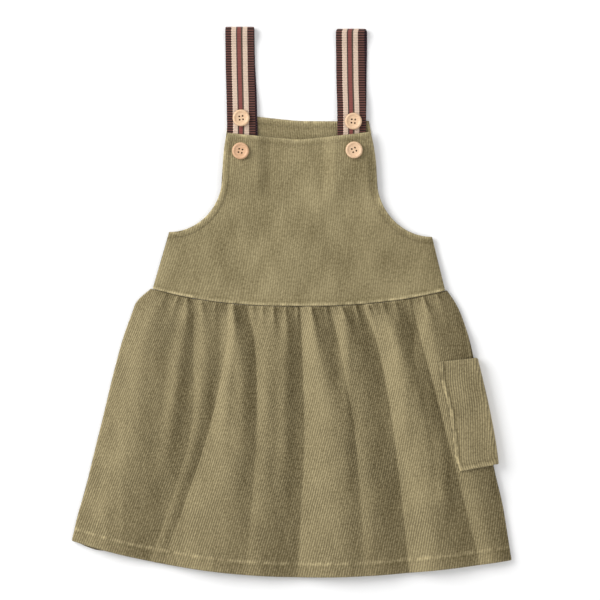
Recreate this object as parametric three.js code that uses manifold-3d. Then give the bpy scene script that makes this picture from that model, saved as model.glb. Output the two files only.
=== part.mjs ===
// A toddler's corduroy pinafore dress, laid flat on its back.
//
// Millimetres, +Z up. +Y runs from the hem to the straps and +X to the side with the pocket.
// Sizes are worked out in the garment's own frame: x from the middle of the bib, y up from the
// lowest point of the hem, z up from the surface that the dress lies on. The last step moves the
// whole so that the origin is the middle of its footprint. Left and right are as seen from above.

import * as THREE from 'three';
import { mergeVertices } from 'three/addons/utils/BufferGeometryUtils.js';
import Module from 'manifold-3d';

// ---------------------------------------------------------------- driving dimensions

const CLOTH = 1.6; // thickness of the corduroy wall
const SEAM_GAP = 0.3; // kept between pieces that are sewn or lie together
const WEBBING = { width: 25, thickness: 1.4 };
const BUTTON = { radius: 7.4, thickness: 3.2, holeRadius: 0.8, holeSpacing: 3.0 };

// The waist seam is a smile: lowest in the middle, rising to each side.
const WAIST = { lowest: 237.4, reach: 129, riseLeft: 15.6, riseRight: 13.7, power: 2.4 };
// The hem is a longer smile whose lowest point is a little to the right of the middle.
const HEM = { lowestAt: 15, riseLeft: 32, reachLeft: 213.6, powerLeft: 2.1,
  riseRight: 15, reachRight: 171.6, powerRight: 1.8 };

// The skirt's side edges, a row for each section from the waist (down 0) to the hem (down 1).
const SKIRT_SECTIONS = [
  { down: 0.0, left: -129.4, right: 130.2 },
  { down: 0.05, left: -141.5, right: 138.0 },
  { down: 0.1, left: -146.0, right: 143.4 },
  { down: 0.2, left: -154.0, right: 150.8 },
  { down: 0.35, left: -162.9, right: 157.6 },
  { down: 0.5, left: -170.8, right: 164.4 },
  { down: 0.65, left: -179.0, right: 170.6 },
  { down: 0.8, left: -187.0, right: 179.0 },
  { down: 0.9, left: -193.5, right: 182.8 },
  { down: 1.0, left: -198.6, right: 186.6 },
];

// The folds of the skirt's front, left to right: every crest with its valley. Each row gives the
// place (X) and the height (Z) at four levels. A valley is a crease and a crest is round.
const FOLD_LEVELS = [0, 0.15, 0.5, 1];
const FRONT_FOLDS = [
  { fold: 'crest', waistX: -121, upperX: -130, middleX: -139, hemX: -161, waistZ: 1.2, upperZ: 4.0, middleZ: 5.2, hemZ: 5.0 },
  { fold: 'valley', waistX: -92, upperX: -92, middleX: -95, hemX: -130, waistZ: 0.3, upperZ: 1.4, middleZ: 2.6, hemZ: 0.9 },
  { fold: 'crest', waistX: -82, upperX: -80, middleX: -90, hemX: -125, waistZ: 1.4, upperZ: 3.2, middleZ: 3.0, hemZ: 1.1 },
  { fold: 'valley', waistX: -62, upperX: -63, middleX: -80, hemX: -119, waistZ: 0.3, upperZ: 0.9, middleZ: 1.2, hemZ: 1.0 },
  { fold: 'crest', waistX: -56, upperX: -51, middleX: -51, hemX: -73, waistZ: 2.4, upperZ: 5.0, middleZ: 6.2, hemZ: 6.0 },
  { fold: 'valley', waistX: -45, upperX: -38, middleX: -37, hemX: -47, waistZ: 0.5, upperZ: 2.0, middleZ: 3.8, hemZ: 5.4 },
  { fold: 'crest', waistX: -22, upperX: -25, middleX: -27, hemX: -38, waistZ: 2.0, upperZ: 4.2, middleZ: 4.8, hemZ: 5.6 },
  { fold: 'valley', waistX: 1, upperX: 3, middleX: 5, hemX: -1, waistZ: 0.3, upperZ: 0.5, middleZ: 0.6, hemZ: 0.7 },
  { fold: 'crest', waistX: 12, upperX: 18, middleX: 38, hemX: 41, waistZ: 2.6, upperZ: 5.2, middleZ: 6.8, hemZ: 6.2 },
  { fold: 'valley', waistX: 27, upperX: 36, middleX: 50, hemX: 58, waistZ: 0.5, upperZ: 1.6, middleZ: 4.6, hemZ: 5.0 },
  { fold: 'crest', waistX: 41, upperX: 49, middleX: 57, hemX: 65, waistZ: 2.0, upperZ: 4.2, middleZ: 5.2, hemZ: 5.3 },
  { fold: 'valley', waistX: 56, upperX: 69, middleX: 84, hemX: 97, waistZ: 0.3, upperZ: 0.6, middleZ: 0.7, hemZ: 0.6 },
  { fold: 'crest', waistX: 65, upperX: 87, middleX: 112, hemX: 124, waistZ: 2.8, upperZ: 5.6, middleZ: 6.2, hemZ: 5.6 },
  { fold: 'valley', waistX: 98, upperX: 107, middleX: 129, hemX: 159, waistZ: 0.4, upperZ: 1.0, middleZ: 1.0, hemZ: 2.0 },
  { fold: 'crest', waistX: 111, upperX: 119, middleX: 143, hemX: 170, waistZ: 1.8, upperZ: 3.8, middleZ: 3.0, hemZ: 3.0 },
];

// The shallow troughs in the underside of the skirt's back, which otherwise lies flat.
const BACK_TROUGHS = [
  { waistX: -96, hemX: -128, height: 1.6, halfWidth: 7, reach: 0.75 },
  { waistX: -58, hemX: -74, height: 1.9, halfWidth: 6, reach: 0.55 },
  { waistX: -8, hemX: -14, height: 1.7, halfWidth: 7, reach: 0.8 },
  { waistX: 39, hemX: 52, height: 1.9, halfWidth: 6, reach: 0.6 },
  { waistX: 84, hemX: 104, height: 1.5, halfWidth: 8, reach: 0.7 },
];

// The bodice: underarm corners, the bend where each armhole turns up into the bib, bib corners.
const FRONT_BODICE = {
  left: { sideX: -127.8, cornerX: -113.4, cornerY: 302.5, bendX: -66.6, bendY: 352, topX: -62.9, topY: 389.4 },
  right: { sideX: 128.5, cornerX: 117.0, cornerY: 298.2, bendX: 68.5, bendY: 350, topX: 63.0, topY: 390.1 },
  neckDip: 6.2, neckPower: 1.15,
};
const BACK_BODICE = {
  left: { sideX: -127.4, cornerX: -112.6, cornerY: 301.6, bendX: -65.0, bendY: 352, topX: -61.2, topY: 406.4 },
  right: { sideX: 128.0, cornerX: 116.0, cornerY: 297.4, bendX: 67.0, bendY: 350, topX: 61.6, topY: 399.8 },
  neckDip: 3.2, neckPower: 1.15,
};

// The pocket is one rectangle of cloth folded round the right side edge, half of it behind.
// Its edges, a row for each section from its open top (down 0) to its bottom (down 1).
const POCKET_SECTIONS = [
  { down: 0.0, leftX: 122.5, leftY: 188.9, foldX: 156.9, foldY: 192.2 },
  { down: 0.2, leftX: 125.2, leftY: 170.0, foldX: 161.5, foldY: 173.6 },
  { down: 0.45, leftX: 131.2, leftY: 147.5, foldX: 166.9, foldY: 150.0 },
  { down: 0.7, leftX: 135.0, leftY: 122.0, foldX: 171.6, foldY: 126.0 },
  { down: 0.9, leftX: 137.6, leftY: 102.5, foldX: 174.3, foldY: 108.5 },
  { down: 1.0, leftX: 141.2, leftY: 92.9, foldX: 175.4, foldY: 99.1 },
];
const POCKET_BACK_WIDTH = 34;
const FOLD_SQUARENESS = 0.6; // below 1, the pocket's fold is squarer than an ellipse
const POCKET_SEAT = 0.6; // the pocket lies this far above the facets of the skirt
// The back skirt ramps up to clear the pocket, starting this far outside it and ending short of it.
const POCKET_RAMP = { start: 24, stop: 11 };

// Each strap is a band sewn inside the back bodice that folds over at its top and comes down
// under the bib. The x values are the band's middle line on its front and back runs.
const STRAPS = [
  { side: 'left', topY: 482.4, frontTopX: -51.7, frontLowX: -50.1, backTopX: -51.2, backLowX: -48.2 },
  { side: 'right', topY: 480.6, frontTopX: 45.2, frontLowX: 46.5, backTopX: 47.6, backLowX: 46.7 },
];
const STRAP_RUN = { backEndY: 386, frontEndY: 351, stepStart: 413, stepEnd: 433,
  overEndStart: 370, overEndStop: 383, loopRadius: 2.3, loopLength: 16 };

const BUTTONS = [
  { name: 'strap_button_left', x: -50.2, y: 402.3, on: 'strap', turn: 8 },
  { name: 'bib_button_left', x: -50.7, y: 373.3, on: 'bib', turn: 4 },
  { name: 'strap_button_right', x: 48.0, y: 399.4, on: 'strap', turn: 2 },
  { name: 'bib_button_right', x: 48.6, y: 374.1, on: 'bib', turn: 28 },
];

const SIDE_ROLL = 9; // the front curves down to the side seams within this distance
const SKIRT_LOFT = 1.3; // air under the front skirt before its folds
const BODICE_LOFT = 1.0;
const BIB_LIFT = 3.2; // how far a strap and its end raise the bib

// ---------------------------------------------------------------- small mathematics

const mix = (a, b, t) => a + (b - a) * t;
const clamp01 = (t) => Math.min(1, Math.max(0, t));
const smooth = (from, to, at) => {
  const t = clamp01((at - from) / (to - from));
  return t * t * (3 - 2 * t);
};
const bell = (offset, halfWidth) => Math.exp(-((offset / halfWidth) ** 2));

// A smooth curve through values at given places, read at one place between them.
function curveAt(places, values, at) {
  const last = places.length - 1;
  const x = Math.min(Math.max(at, places[0]), places[last]);
  let k = 0;
  while (k < last - 1 && x > places[k + 1]) k += 1;
  const slope = (i) => {
    const a = Math.max(0, i - 1);
    const b = Math.min(last, i + 1);
    return (values[b] - values[a]) / (places[b] - places[a]);
  };
  const span = places[k + 1] - places[k];
  const t = (x - places[k]) / span;
  const held = (1 + 2 * t) * (1 - t) ** 2 * values[k] + t * t * (3 - 2 * t) * values[k + 1];
  return held + span * (t * (1 - t) ** 2 * slope(k) - t * t * (1 - t) * slope(k + 1));
}

const column = (table, name) => table.map((row) => row[name]);
const read = (table, name, down) => curveAt(column(table, 'down'), column(table, name), down);

// ---------------------------------------------------------------- seam and hem lines

function waistY(x) {
  const rise = x < 0 ? WAIST.riseLeft : WAIST.riseRight;
  return WAIST.lowest + rise * Math.abs(x / WAIST.reach) ** WAIST.power;
}

function hemY(x) {
  const away = x - HEM.lowestAt;
  if (away < 0) return HEM.riseLeft * (-away / HEM.reachLeft) ** HEM.powerLeft;
  return HEM.riseRight * (away / HEM.reachRight) ** HEM.powerRight;
}

// The back hem is a little shorter, but shows below the front one near the left corner.
const backHemY = (x) => hemY(x) + 1.2 - 3.0 * bell(x + 180, 14);

// ---------------------------------------------------------------- heights of the layers

// How far down the skirt a point is, from 0 at the waist to 1 at the hem.
function downAt(x, y) {
  const top = waistY(x * 0.75);
  return clamp01((top - y) / (top - hemY(x)));
}

// The fold heights of the skirt's front at one level: a round crest between creased valleys.
function foldHeight(x, down) {
  const levels = (row, end) => ['waist', 'upper', 'middle', 'hem'].map((level) => row[level + end]);
  const edges = [read(SKIRT_SECTIONS, 'left', down), read(SKIRT_SECTIONS, 'right', down)];
  const places = FRONT_FOLDS.map((row) => curveAt(FOLD_LEVELS, levels(row, 'X'), down));
  const heights = FRONT_FOLDS.map((row) => curveAt(FOLD_LEVELS, levels(row, 'Z'), down));
  const kinds = ['valley', ...column(FRONT_FOLDS, 'fold'), 'valley'];
  places.unshift(edges[0]);
  places.push(edges[1]);
  heights.unshift(0);
  heights.push(0);
  let k = 0;
  while (k < places.length - 2 && x > places[k + 1]) k += 1;
  const t = clamp01((x - places[k]) / (places[k + 1] - places[k]));
  const rise = kinds[k] === 'valley' ? t : 1 - t;
  const low = kinds[k] === 'valley' ? heights[k] : heights[k + 1];
  const high = kinds[k] === 'valley' ? heights[k + 1] : heights[k];
  const creased = Math.sin((rise * Math.PI) / 2);
  const rounded = rise * rise * (3 - 2 * rise);
  return mix(low, high, mix(creased, rounded, 0.4));
}

// 0 at a side seam, and 1 from SIDE_ROLL inwards, as a quarter round.
function sideRoll(x, left, right) {
  const inside = clamp01(Math.min(x - left, right - x) / SIDE_ROLL);
  return Math.sqrt(1 - (1 - inside) ** 2);
}

// The lower face of the back skirt: flat, but for its troughs and its ramp over the pocket.
function backSkirtLow(x, y) {
  const down = downAt(x, y);
  const trough = (row) => row.height * bell(x - mix(row.waistX, row.hemX, down), row.halfWidth)
    * smooth(0, 0.06, down) * (1 - smooth(row.reach * 0.5, row.reach, down));
  const troughs = BACK_TROUGHS.reduce((sum, row) => sum + trough(row), 0);
  const top = POCKET_SECTIONS[0];
  const bottom = POCKET_SECTIONS[POCKET_SECTIONS.length - 1];
  const level = clamp01((top.foldY - y) / (top.foldY - bottom.foldY));
  const inner = read(POCKET_SECTIONS, 'foldX', level) - POCKET_BACK_WIDTH;
  const { start, stop } = POCKET_RAMP;
  const overPocket = smooth(inner - start, inner - stop, x)
    * smooth(bottom.leftY - start - 8, bottom.leftY - stop - 8, y)
    * (1 - smooth(top.foldY + stop + 6, top.foldY + start + 6, y));
  return Math.max(troughs, (CLOTH + SEAM_GAP) * overPocket);
}

// The lower face of the front skirt, clear of the back one below it.
function frontSkirtLow(x, y, down) {
  const left = read(SKIRT_SECTIONS, 'left', down);
  const right = read(SKIRT_SECTIONS, 'right', down);
  const air = SEAM_GAP + sideRoll(x, left, right) * (SKIRT_LOFT + foldHeight(x, down));
  return backSkirtLow(x, y) + CLOTH + air;
}

// How far the strap ends below the bib raise it at each corner.
function strapLift(x, y) {
  const near = STRAPS.map((strap) => {
    const off = Math.abs(x - strap.frontLowX) - WEBBING.width / 2;
    return 1 - smooth(0.5, 14, off);
  });
  return BIB_LIFT * Math.max(...near) * smooth(328, STRAP_RUN.frontEndY - 2, y);
}

// The lower face of the front bodice, with its faint waves.
function frontBodiceLow(x, y) {
  const half = mix(FRONT_BODICE.right.sideX, FRONT_BODICE.right.cornerX, smooth(waistY(x), 300, y));
  const wave = 0.35 * Math.sin(x / 19 + y / 31) + 0.25 * Math.sin(x / 11 - y / 23 + 2);
  const roll = y < 300 ? sideRoll(x, -half, half) : 1;
  return CLOTH + SEAM_GAP + roll * (BODICE_LOFT + wave + 0.3) + strapLift(x, y);
}

// ---------------------------------------------------------------- closed meshes

function solid(name, positions, triangles, material) {
  const geometry = new THREE.BufferGeometry();
  geometry.setAttribute('position', new THREE.Float32BufferAttribute(positions.flat(), 3));
  geometry.setIndex(outward(positions, triangles).flat());
  geometry.computeVertexNormals();
  const mesh = new THREE.Mesh(geometry, material);
  mesh.name = name;
  return mesh;
}

// The triangles, turned round if their normals point into the body.
function outward(points, triangles) {
  const volume = triangles.reduce((sum, [a, b, c]) => {
    const [p, q, r] = [points[a], points[b], points[c]];
    return sum + p[0] * (q[1] * r[2] - q[2] * r[1])
      + p[1] * (q[2] * r[0] - q[0] * r[2]) + p[2] * (q[0] * r[1] - q[1] * r[0]);
  }, 0);
  return volume > 0 ? triangles : triangles.map(([a, b, c]) => [a, c, b]);
}

// A cloth wall: a grid of points on each of its two faces, closed by a rim all round.
function clothWall(name, across, along, facesAt, material) {
  const points = [];
  const triangles = [];
  const stride = along + 1;
  const layer = (across + 1) * stride;
  for (const face of [0, 1]) {
    for (let i = 0; i <= across; i += 1) {
      for (let j = 0; j <= along; j += 1) points.push(facesAt(i, j)[face]);
    }
  }
  const quad = (a, b, c, d) => triangles.push([a, b, c], [a, c, d]);
  for (let i = 0; i < across; i += 1) {
    for (let j = 0; j < along; j += 1) {
      const a = i * stride + j;
      quad(a, a + stride, a + stride + 1, a + 1);
      quad(a + layer, a + layer + 1, a + layer + stride + 1, a + layer + stride);
    }
  }
  for (let i = 0; i < across; i += 1) {
    const [start, end] = [i * stride, i * stride + along];
    quad(start, start + layer, start + stride + layer, start + stride);
    quad(end, end + stride, end + stride + layer, end + layer);
  }
  for (let j = 0; j < along; j += 1) {
    const [start, end] = [j, across * stride + j];
    quad(start, start + 1, start + 1 + layer, start + layer);
    quad(end, end + layer, end + 1 + layer, end + 1);
  }
  return solid(name, points, triangles, material);
}

// ---------------------------------------------------------------- materials

const cloth = (color) => new THREE.MeshStandardMaterial({ color, roughness: 0.95, metalness: 0 });
const CORDUROY = cloth(0x8a7d5e);
const CORDUROY_BACK = cloth(0x7f7256);
const RIBBON = cloth(0x6b4540);
const WOOD = new THREE.MeshStandardMaterial({ color: 0xe6c9a2, roughness: 0.5, metalness: 0 });

// ---------------------------------------------------------------- skirt panels

// A point of the skirt's plan: u from the left edge to the right one, down from waist to hem.
function skirtPlan(u, down, hem) {
  const waistX = mix(SKIRT_SECTIONS[0].left, SKIRT_SECTIONS[0].right, u);
  const hemRow = SKIRT_SECTIONS[SKIRT_SECTIONS.length - 1];
  const x = mix(read(SKIRT_SECTIONS, 'left', down), read(SKIRT_SECTIONS, 'right', down), u);
  const hemX = mix(hemRow.left, hemRow.right, u);
  return [x, mix(waistY(waistX) - SEAM_GAP / 2, hem(hemX), down)];
}

// Both panels share one grid, so that they stay parallel between its points. Its columns crowd
// towards the side edges, where the cloth turns down.
const SKIRT_GRID = { across: 46, along: 12 };
const crowded = (share) => share - (0.35 / (2 * Math.PI)) * Math.sin(2 * Math.PI * share);

// A grid point of the front skirt's lower face.
function frontSkirtPoint(i, j) {
  const down = j / SKIRT_GRID.along;
  const [x, y] = skirtPlan(crowded(i / SKIRT_GRID.across), down, hemY);
  return [x, y, frontSkirtLow(x, y, down)];
}

// The height of the front skirt's outer facets at a place.
function frontSkirtTop(x, y) {
  for (let i = 0; i < SKIRT_GRID.across; i += 1) {
    for (let j = 0; j < SKIRT_GRID.along; j += 1) {
      const [a, b] = [frontSkirtPoint(i, j), frontSkirtPoint(i + 1, j + 1)];
      for (const c of [frontSkirtPoint(i + 1, j), frontSkirtPoint(i, j + 1)]) {
        const area = (b[0] - a[0]) * (c[1] - a[1]) - (b[1] - a[1]) * (c[0] - a[0]);
        const toC = ((b[0] - a[0]) * (y - a[1]) - (b[1] - a[1]) * (x - a[0])) / area;
        const toB = ((x - a[0]) * (c[1] - a[1]) - (y - a[1]) * (c[0] - a[0])) / area;
        const inside = toB >= 0 && toC >= 0 && toB + toC <= 1;
        if (inside) return CLOTH + a[2] + toB * (b[2] - a[2]) + toC * (c[2] - a[2]);
      }
    }
  }
  throw new Error(`no facet of the front skirt at ${x}, ${y}`);
}

function frontSkirt() {
  const { across, along } = SKIRT_GRID;
  return clothWall('front_skirt', across, along, (i, j) => {
    const [x, y, low] = frontSkirtPoint(i, j);
    return [[x, y, low + CLOTH], [x, y, low]];
  }, CORDUROY);
}

function backSkirt() {
  const { across, along } = SKIRT_GRID;
  return clothWall('back_skirt', across, along, (i, j) => {
    const [x, y] = skirtPlan(crowded(i / across), j / along, backHemY);
    const low = backSkirtLow(x, y);
    return [[x, y, low + CLOTH], [x, y, low]];
  }, CORDUROY_BACK);
}

// ---------------------------------------------------------------- bodice panels

// The top edge of a bodice panel from the left underarm to the right one, u from 0 to 1: an
// armhole that turns up in a quarter ellipse, the bib's side, the neckline, and back down.
const ARMHOLE_SHARE = 0.3;
const TURN_SHARE = 0.62;
function bodiceTop(panel, u) {
  const side = u < 0.5 ? panel.left : panel.right;
  const fromSide = Math.min(u, 1 - u) / ARMHOLE_SHARE;
  if (fromSide >= 1) {
    const t = (u - ARMHOLE_SHARE) / (1 - 2 * ARMHOLE_SHARE);
    const x = mix(panel.left.topX, panel.right.topX, t);
    const dip = panel.neckDip * (1 - Math.abs(2 * t - 1) ** panel.neckPower);
    return [x, mix(panel.left.topY, panel.right.topY, t) - dip];
  }
  if (fromSide <= TURN_SHARE) {
    const angle = (fromSide / TURN_SHARE) * (Math.PI / 2);
    return [mix(side.cornerX, side.bendX, Math.sin(angle)),
      mix(side.bendY, side.cornerY, Math.cos(angle))];
  }
  const t = (fromSide - TURN_SHARE) / (1 - TURN_SHARE);
  return [mix(side.bendX, side.topX, t * t), mix(side.bendY, side.topY, t)];
}

function bodicePlan(panel, u, up) {
  const [topX, topY] = bodiceTop(panel, u);
  const fromSide = Math.min(u, 1 - u) / ARMHOLE_SHARE;
  const side = u < 0.5 ? panel.left : panel.right;
  const bibSide = side.topX * 1.06;
  const waistX = fromSide < 1 ? mix(side.sideX, bibSide, Math.sin((fromSide * Math.PI) / 2))
    : mix(panel.left.topX * 1.06, panel.right.topX * 1.06,
      (u - ARMHOLE_SHARE) / (1 - 2 * ARMHOLE_SHARE));
  return [mix(waistX, topX, up), mix(waistY(waistX) + SEAM_GAP / 2, topY, up)];
}

function frontBodice() {
  const [across, along] = [36, 12];
  return clothWall('front_bodice', across, along, (i, j) => {
    const [x, y] = bodicePlan(FRONT_BODICE, i / across, j / along);
    const low = frontBodiceLow(x, y);
    return [[x, y, low + CLOTH], [x, y, low]];
  }, CORDUROY);
}

function backBodice() {
  const [across, along] = [26, 7];
  return clothWall('back_bodice', across, along, (i, j) => {
    const [x, y] = bodicePlan(BACK_BODICE, i / across, j / along);
    return [[x, y, CLOTH], [x, y, 0]];
  }, CORDUROY_BACK);
}

// ---------------------------------------------------------------- pocket

// One row of the pocket as points of its inner face with the direction that faces away from
// the skirt: along the front skirt, round the side edge, and back under the back skirt.
function pocketRow(down) {
  const at = (name) => read(POCKET_SECTIONS, name, down);
  const [left, fold] = [at('leftX'), at('foldX') - CLOTH];
  const rowY = (x) => mix(at('leftY'), at('foldY'), clamp01((x - left) / (fold - left)));
  const turnX = fold - 3.4;
  const [frontSteps, turnSteps, backSteps] = [9, 6, 6];
  const frontZ = (x) => {
    const seat = Math.min(x, turnX - 5);
    return frontSkirtTop(seat, rowY(seat)) + POCKET_SEAT;
  };
  const backZ = CLOTH;
  const row = [];
  for (let k = 0; k <= frontSteps; k += 1) {
    const x = mix(left, turnX, k / frontSteps);
    row.push({ x, y: rowY(x), z: frontZ(x), outX: 0, outZ: 1 });
  }
  const middleZ = (frontZ(turnX) + backZ) / 2;
  const squared = (value) => Math.sign(value) * Math.abs(value) ** FOLD_SQUARENESS;
  for (let k = 1; k < turnSteps; k += 1) {
    const angle = (k / turnSteps) * Math.PI;
    const [sideways, upward] = [Math.sin(angle), Math.cos(angle)];
    row.push({ x: turnX + (fold - turnX) * squared(sideways), y: rowY(fold),
      z: middleZ + (frontZ(turnX) - middleZ) * squared(upward), outX: sideways, outZ: upward });
  }
  for (let k = 0; k <= backSteps; k += 1) {
    const x = mix(turnX, turnX - POCKET_BACK_WIDTH, k / backSteps);
    row.push({ x, y: rowY(2 * turnX - x - (turnX - x) * 0.9), z: backZ, outX: 0, outZ: -1 });
  }
  return row;
}

function pocket() {
  const along = 12;
  const rows = Array.from({ length: along + 1 }, (_, j) => pocketRow(j / along));
  return clothWall('side_pocket', rows[0].length - 1, along, (i, j) => {
    const p = rows[j][i];
    return [[p.x + p.outX * CLOTH, p.y, p.z + p.outZ * CLOTH], [p.x, p.y, p.z]];
  }, CORDUROY);
}

// ---------------------------------------------------------------- straps

// Heights of the middle of the webbing on its back and front runs.
const LYING = WEBBING.thickness / 2;
const INSIDE_BACK = CLOTH + SEAM_GAP + LYING;
const STACKED = WEBBING.thickness + SEAM_GAP;
const backRunZ = (y) => mix(INSIDE_BACK, LYING, smooth(STRAP_RUN.stepStart, STRAP_RUN.stepEnd, y));
function frontRunZ(y) {
  const overEnd = smooth(STRAP_RUN.overEndStart, STRAP_RUN.overEndStop, y);
  return backRunZ(y) + STACKED * overEnd;
}

// The strap's middle line from its end inside the back bodice, over the top, to its front end.
function strapPath(strap) {
  const { backEndY, frontEndY, loopRadius, loopLength } = STRAP_RUN;
  const shoulder = strap.topY - loopRadius - LYING;
  const onRun = (topX, lowX, y) => mix(lowX, topX, smooth(backEndY, shoulder, y));
  const path = [];
  const backSteps = 14;
  for (let k = 0; k <= backSteps; k += 1) {
    const y = mix(backEndY, shoulder, k / backSteps);
    path.push([onRun(strap.backTopX, strap.backLowX, y), y, backRunZ(y)]);
  }
  const turnSteps = 8;
  for (let k = 1; k < turnSteps; k += 1) {
    const angle = (k / turnSteps) * Math.PI;
    path.push([mix(strap.backTopX, strap.frontTopX, k / turnSteps),
      shoulder + loopRadius * Math.sin(angle),
      LYING + loopRadius * (1 - Math.cos(angle))]);
  }
  const frontSteps = 22;
  for (let k = 0; k <= frontSteps; k += 1) {
    const y = mix(shoulder, frontEndY, k / frontSteps);
    const open = (2 * loopRadius - STACKED) * smooth(shoulder - loopLength, shoulder, y);
    path.push([onRun(strap.frontTopX, strap.frontLowX, y), y, frontRunZ(y) + open]);
  }
  return path;
}

function strapBand(strap) {
  const path = strapPath(strap);
  const half = WEBBING.width / 2;
  const facesAt = (i, j) => {
    const before = path[Math.max(0, i - 1)];
    const after = path[Math.min(path.length - 1, i + 1)];
    const length = Math.hypot(after[1] - before[1], after[2] - before[2]);
    const [normalY, normalZ] = [-(after[2] - before[2]) / length, (after[1] - before[1]) / length];
    const [x, y, z] = path[i];
    const across = mix(-half, half, j / 2);
    return [-LYING, LYING].map((out) => [x + across, y + normalY * out, z + normalZ * out]);
  };
  return clothWall(`strap_${strap.side}`, path.length - 1, 2, facesAt, RIBBON);
}

// ---------------------------------------------------------------- buttons

function asManifold(geometry, wasm) {
  const bare = geometry.clone();
  bare.deleteAttribute('normal');
  bare.deleteAttribute('uv');
  const merged = mergeVertices(bare, 1e-4);
  return new wasm.Manifold(new wasm.Mesh({
    numProp: 3,
    vertProperties: new Float32Array(merged.attributes.position.array),
    triVerts: new Uint32Array(merged.index.array),
  }));
}

// A turned disc with a raised rim and a dished middle, and four holes through it.
function buttonGeometry(wasm) {
  const { radius, thickness, holeRadius, holeSpacing } = BUTTON;
  const profile = [
    [0, 0], [radius - 1.6, 0], [radius - 0.5, 0.35], [radius, 1.3], [radius - 0.15, 2.3],
    [radius - 0.9, thickness], [radius - 1.8, thickness - 0.15], [radius - 2.7, thickness - 0.9],
    [0, thickness - 1.1],
  ].map(([r, z]) => new THREE.Vector2(r, z));
  const disc = new THREE.LatheGeometry(profile, 28);
  disc.rotateX(Math.PI / 2); // the lathe turns about Y; the button lies with its axis along Z
  let body = asManifold(disc, wasm);
  for (const sx of [-1, 1]) {
    for (const sy of [-1, 1]) {
      const drill = new THREE.CylinderGeometry(holeRadius, holeRadius, 3 * thickness, 8);
      drill.rotateX(Math.PI / 2);
      drill.translate((sx * holeSpacing) / 2, (sy * holeSpacing) / 2, thickness / 2);
      body = body.subtract(asManifold(drill, wasm));
    }
  }
  const { vertProperties, triVerts, numProp } = body.getMesh();
  const geometry = new THREE.BufferGeometry();
  const positions = [];
  for (let k = 0; k < vertProperties.length; k += numProp) {
    positions.push(vertProperties[k], vertProperties[k + 1], vertProperties[k + 2]);
  }
  geometry.setAttribute('position', new THREE.Float32BufferAttribute(positions, 3));
  geometry.setIndex(new THREE.Uint32BufferAttribute(triVerts, 1));
  geometry.computeVertexNormals();
  return geometry;
}

function button(row, geometry) {
  const seat = row.on === 'strap' ? frontRunZ(row.y) + LYING : frontBodiceLow(row.x, row.y) + CLOTH;
  const mesh = new THREE.Mesh(geometry.clone(), WOOD);
  mesh.name = row.name;
  mesh.geometry.rotateZ(THREE.MathUtils.degToRad(row.turn));
  mesh.geometry.translate(row.x, row.y, seat + SEAM_GAP);
  return mesh;
}

// ---------------------------------------------------------------- the dress

const wasm = await Module();
wasm.setup();

const group = new THREE.Group();
group.add(backSkirt(), frontSkirt(), backBodice(), frontBodice(), pocket());
STRAPS.forEach((strap) => group.add(strapBand(strap)));
const turned = buttonGeometry(wasm);
BUTTONS.forEach((row) => group.add(button(row, turned)));

// The origin goes to the middle of the footprint, on the surface that the dress lies on.
const box = new THREE.Box3().setFromObject(group);
const middle = box.getCenter(new THREE.Vector3());
group.children.forEach((mesh) => mesh.geometry.translate(-middle.x, -middle.y, -box.min.z));

export default group;
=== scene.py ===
"""A toddler's corduroy pinafore dress, laid flat and seen from straight above.

Sizes are in millimetres in the garment's own frame: x from the middle of the bib, y up from the
lowest point of the hem, z up from the surface. to_world() turns them into the row frame, in metres.
Every cloth piece is a closed shell. Its wales are mostly a bump and painted shade in their grooves,
over a relief of only WALE_DEPTH, because a mesh this coarse can't carry deeper ones without beating.
Light and shade on the cloth's slopes, rims and seams are painted into its colour as well.
"""

import math

import bpy
import numpy as np
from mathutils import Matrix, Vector


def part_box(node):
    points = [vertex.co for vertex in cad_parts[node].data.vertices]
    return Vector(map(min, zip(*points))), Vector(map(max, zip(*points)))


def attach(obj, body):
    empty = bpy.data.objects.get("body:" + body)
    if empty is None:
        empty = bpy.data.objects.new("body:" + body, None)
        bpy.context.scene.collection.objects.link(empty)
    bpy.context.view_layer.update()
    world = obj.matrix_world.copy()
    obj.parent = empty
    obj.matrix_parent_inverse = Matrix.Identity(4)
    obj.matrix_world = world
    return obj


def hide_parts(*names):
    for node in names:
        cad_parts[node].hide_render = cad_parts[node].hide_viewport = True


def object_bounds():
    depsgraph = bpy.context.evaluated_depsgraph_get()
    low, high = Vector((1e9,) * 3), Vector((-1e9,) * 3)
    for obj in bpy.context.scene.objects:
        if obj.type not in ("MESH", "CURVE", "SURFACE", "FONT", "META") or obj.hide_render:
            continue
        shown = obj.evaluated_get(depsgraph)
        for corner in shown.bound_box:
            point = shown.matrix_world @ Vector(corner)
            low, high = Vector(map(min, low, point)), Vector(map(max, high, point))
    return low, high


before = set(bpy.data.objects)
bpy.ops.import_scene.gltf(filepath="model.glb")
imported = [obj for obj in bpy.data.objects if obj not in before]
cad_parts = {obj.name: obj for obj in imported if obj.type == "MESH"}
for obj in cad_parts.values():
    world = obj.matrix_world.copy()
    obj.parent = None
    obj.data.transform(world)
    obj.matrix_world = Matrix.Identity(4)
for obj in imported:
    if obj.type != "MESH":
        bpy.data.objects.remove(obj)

cad_low, cad_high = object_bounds()

# ---------------- sizes of the garment

MM = 0.001
CLOTH = 1.6
SEAM_GAP = 0.3
WALE_PITCH = 2.05
WALE_DEPTH = 0.06
BODICE_WALE_DEPTH = 0.06

WAIST = dict(lowest=237.4, reach=129, rise_left=15.6, rise_right=13.7, power=2.4)
HEM = dict(lowest_at=15, rise_left=32, reach_left=213.6, power_left=2.1,
           rise_right=15, reach_right=171.6, power_right=1.8)

# The skirt's side edges: how far down, left x, right x.
SKIRT_DOWN = [0.0, 0.05, 0.1, 0.2, 0.35, 0.5, 0.65, 0.8, 0.9, 1.0]
SKIRT_LEFT = [-129.4, -141.5, -146.0, -154.0, -162.9, -170.8, -179.0, -187.0, -193.5, -198.6]
SKIRT_RIGHT = [130.2, 138.0, 143.4, 150.8, 157.6, 164.4, 170.6, 179.0, 182.8, 186.6]

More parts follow.
